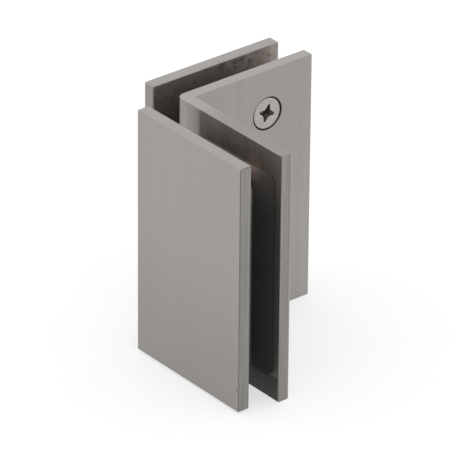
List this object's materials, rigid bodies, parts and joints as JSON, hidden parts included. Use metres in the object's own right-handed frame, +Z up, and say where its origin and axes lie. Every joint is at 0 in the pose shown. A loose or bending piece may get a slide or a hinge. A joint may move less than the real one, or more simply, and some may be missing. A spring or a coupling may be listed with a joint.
{
  "type": "glass-to-glass bracket",
  "caption": "Right-angle glass clamp: an inner angle and flat outer plates, drawn together by countersunk screws through the panes, with soft pads in each slot.",
  "frame": {"origin": "on the floor, in the middle of the bracket's square plan", "axes": "+Z is up, along the corner. The front leg and plate run along +X, and their pane lies on the -Y side of the leg. The rear leg and plate run along +Y, and their pane lies on the -X side of the leg."},
  "size_m": [0.0688, 0.0688, 0.0904],
  "materials": {
    "angle_metal": "solid brass, satin nickel plated, with a faint upright brushing",
    "plate_metal": "solid brass, satin nickel plated",
    "screw_steel": "bright nickel plated steel",
    "pad_rubber": "plain dark gasket sheet",
    "sleeve_plastic": "plain moulded plastic"
  },
  "bodies": {
    "root": {"angle_bracket": "angle_metal", "front_plate": "plate_metal", "rear_plate": "plate_metal", "front_angle_pad": "pad_rubber", "front_plate_pad": "pad_rubber", "rear_angle_pad": "pad_rubber", "rear_plate_pad": "pad_rubber", "front_upper_screw": "screw_steel", "front_lower_screw": "screw_steel", "rear_upper_screw": "screw_steel", "rear_lower_screw": "screw_steel", "front_upper_sleeve": "sleeve_plastic", "front_lower_sleeve": "sleeve_plastic", "rear_upper_sleeve": "sleeve_plastic", "rear_lower_sleeve": "sleeve_plastic"}
  },
  "joints": []
}
